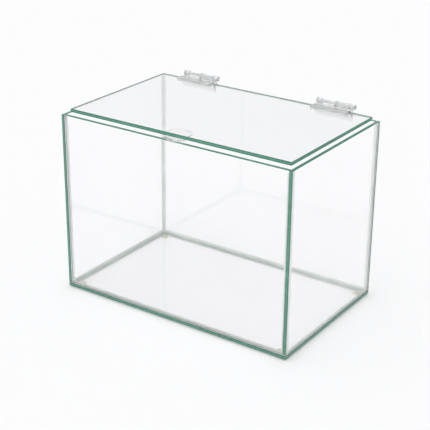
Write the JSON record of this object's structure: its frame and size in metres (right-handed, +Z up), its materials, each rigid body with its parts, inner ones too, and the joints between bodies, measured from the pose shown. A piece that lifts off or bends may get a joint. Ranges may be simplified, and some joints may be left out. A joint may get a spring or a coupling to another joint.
{
  "type": "lidded glass tank",
  "caption": "Small rectangular all-glass pet tank with silicone-bonded walls and a flat glass lid that swings up on clear clip hinges.",
  "frame": {"origin": "on the surface that the feet stand on, at the middle of the whole object's outline seen from above, hinge barrels included", "axes": "+X to the tank's right, +Y to its back where the hinges are, +Z up"},
  "size_m": [0.3, 0.194, 0.226],
  "materials": {
    "glass": "clear soda-lime float glass, green at its ground edges",
    "silicone": "translucent whitish silicone sealant, smoothed by finger",
    "clear_plastic": "clear moulded plastic, polished",
    "pin_plastic": "clear plastic rod",
    "bumper": "clear soft bumper, slightly yellow",
    "tab_plastic": "clear plastic disc"
  },
  "bodies": {
    "tank": {"base_panel": "glass", "front_panel": "glass", "back_panel": "glass", "left_panel": "glass", "right_panel": "glass", "seam_front_left": "silicone", "seam_front_right": "silicone", "seam_back_left": "silicone", "seam_back_right": "silicone", "seam_base_front": "silicone", "seam_base_back": "silicone", "seam_base_left": "silicone", "seam_base_right": "silicone", "hinge_wall_clip_left": "clear_plastic", "hinge_wall_clip_right": "clear_plastic", "hinge_pin_left": "pin_plastic", "hinge_pin_right": "pin_plastic", "foot_front_left": "bumper", "foot_front_right": "bumper", "foot_back_left": "bumper", "foot_back_right": "bumper"},
    "lid": {"lid_panel": "glass", "hinge_lid_clip_left": "clear_plastic", "hinge_lid_clip_right": "clear_plastic", "lid_lift_tab": "tab_plastic"}
  },
  "joints": [
    {"name": "lid_hinge", "type": "hinge", "parent": "tank", "child": "lid", "pos_m": [0, 0.094, 0.223], "axis": [-1, 0, 0], "range_deg": [0, 105]}
  ]
}
